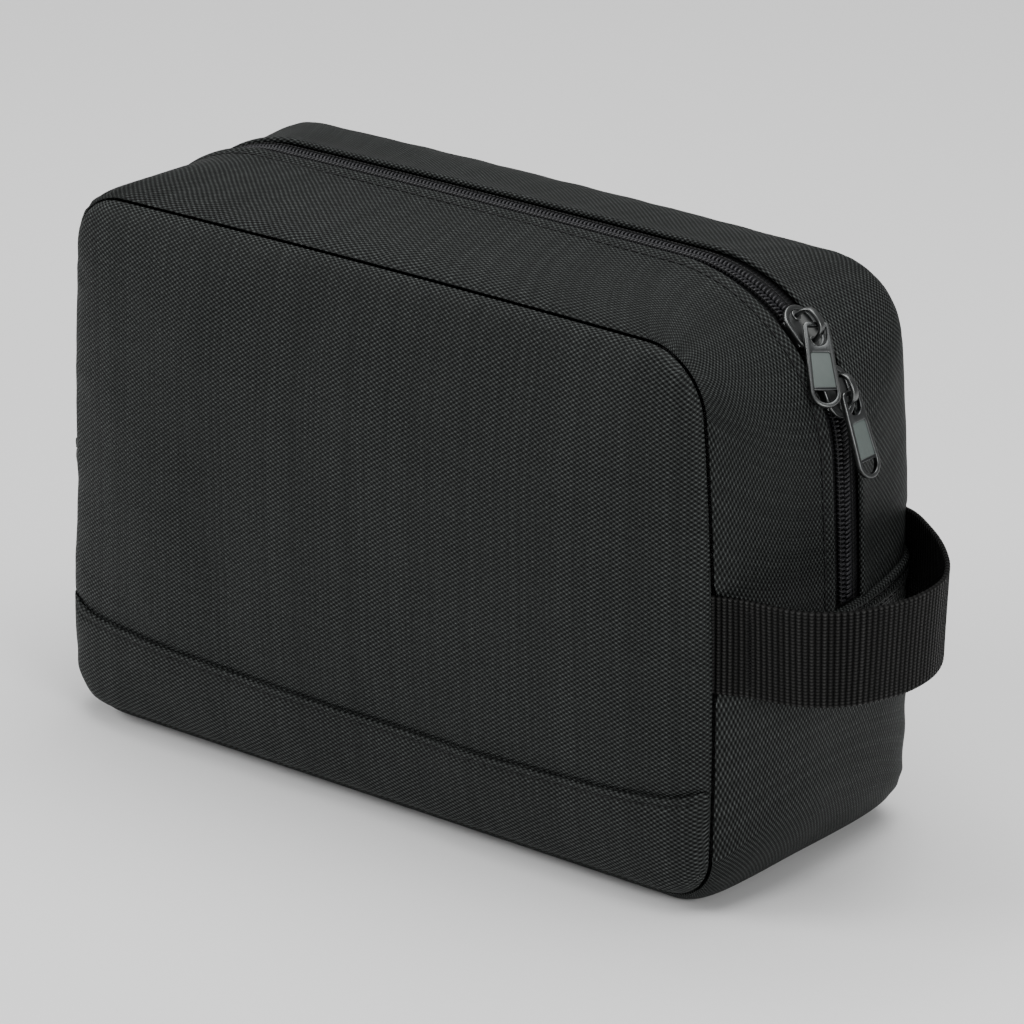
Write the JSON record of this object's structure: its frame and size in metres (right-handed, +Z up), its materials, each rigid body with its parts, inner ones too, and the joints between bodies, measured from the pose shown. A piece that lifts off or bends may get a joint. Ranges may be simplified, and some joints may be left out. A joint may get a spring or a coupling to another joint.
{
  "type": "zipped wash bag",
  "caption": "Box-shaped padded wash bag with a zip over its top and down its ends, a pair of sliders with pulls and a webbing carrying loop on one end.",
  "frame": {"origin": "middle of the base, on the surface the bag stands on", "axes": "+X along the bag towards the end with the carrying loop, +Y from the front panel to the back panel, +Z up"},
  "size_m": [0.3272, 0.1234, 0.1929],
  "materials": {
    "outer_fabric": "coated plain-weave polyester, black",
    "lining": "thin taffeta lining, black",
    "foam": "closed-cell foam padding, dark grey",
    "binding": "folded seam tape, black",
    "zip_tape": "woven zip tape, black",
    "zip_coil": "nylon coil, black",
    "gunmetal": "gunmetal plated zinc, edges worn brighter",
    "pull_inlay": "flat grey plate",
    "webbing": "ribbed polypropylene webbing, black",
    "board": "stiff plastic sheet"
  },
  "bodies": {
    "shell": {"front_panel_base": "outer_fabric", "front_band": "outer_fabric", "back_panel": "outer_fabric", "back_band": "outer_fabric", "base_gusset": "outer_fabric", "zip_strip_front_end_right": "outer_fabric", "zip_strip_front_end_left": "outer_fabric", "zip_strip_rear": "outer_fabric", "lining_front_base": "lining", "lining_back": "lining", "lining_base": "lining", "lining_strip_rear": "lining", "foam_front_base": "foam", "foam_back": "foam", "seam_binding_front_base": "binding", "seam_binding_rear": "binding", "zip_tape_front_end_right": "zip_tape", "zip_tape_front_end_left": "zip_tape", "zip_tape_rear": "zip_tape", "zip_coil_front_end_right": "zip_coil", "zip_coil_front_end_left": "zip_coil", "zip_coil_rear": "zip_coil", "handle_end_front": "webbing", "handle_end_rear": "webbing", "base_board": "board"},
    "front_flap": {"front_panel": "outer_fabric", "zip_strip_front": "outer_fabric", "foam_front": "foam", "lining_front": "lining", "lining_strip_front": "lining", "seam_binding_front": "binding", "zip_tape_front": "zip_tape", "zip_coil_front": "zip_coil"},
    "slider_upper": {"slider_upper": "gunmetal"},
    "slider_lower": {"slider_lower": "gunmetal"},
    "pull_upper": {"pull_upper": "gunmetal", "pull_upper_inlay": "pull_inlay"},
    "pull_lower": {"pull_lower": "gunmetal", "pull_lower_inlay": "pull_inlay"},
    "handle": {"handle_webbing": "webbing"}
  },
  "joints": [
    {"name": "flap_fold", "type": "hinge", "parent": "shell", "child": "front_flap", "pos_m": [0, -0.062, 0.112], "axis": [1, 0, 0], "range_deg": [0, 30]},
    {"name": "slider_upper_run", "type": "hinge", "parent": "shell", "child": "slider_upper", "pos_m": [0.08363, 0.0045, 0.13176], "axis": [0, -1, 0], "range_deg": [0, 36], "deforming": ["zip_tape_rear", "zip_coil_rear", "zip_tape_front", "zip_coil_front"]},
    {"name": "slider_lower_run", "type": "hinge", "parent": "shell", "child": "slider_lower", "pos_m": [0.09159, 0.0045, 0.13659], "axis": [0, 1, 0], "range_deg": [0, 22], "deforming": ["zip_tape_rear", "zip_coil_rear", "zip_tape_front", "zip_coil_front"]},
    {"name": "pull_upper_swing", "type": "hinge", "parent": "slider_upper", "child": "pull_upper", "pos_m": [0.13093, 0.0045, 0.17879], "axis": [-0.4833, -0.8693, 0.1036], "range_deg": [0, 70]},
    {"name": "pull_lower_swing", "type": "hinge", "parent": "slider_lower", "child": "pull_lower", "pos_m": [0.14403, 0.0045, 0.15967], "axis": [0, -1, 0], "range_deg": [0, 60]},
    {"name": "handle_swing", "type": "hinge", "parent": "shell", "child": "handle", "pos_m": [0.1335, 0, 0.091], "axis": [0, -1, 0], "range_deg": [-15, 15], "stiffness_Nm_per_rad": 0.08, "deforming": ["handle_end_front", "handle_end_rear"]}
  ]
}
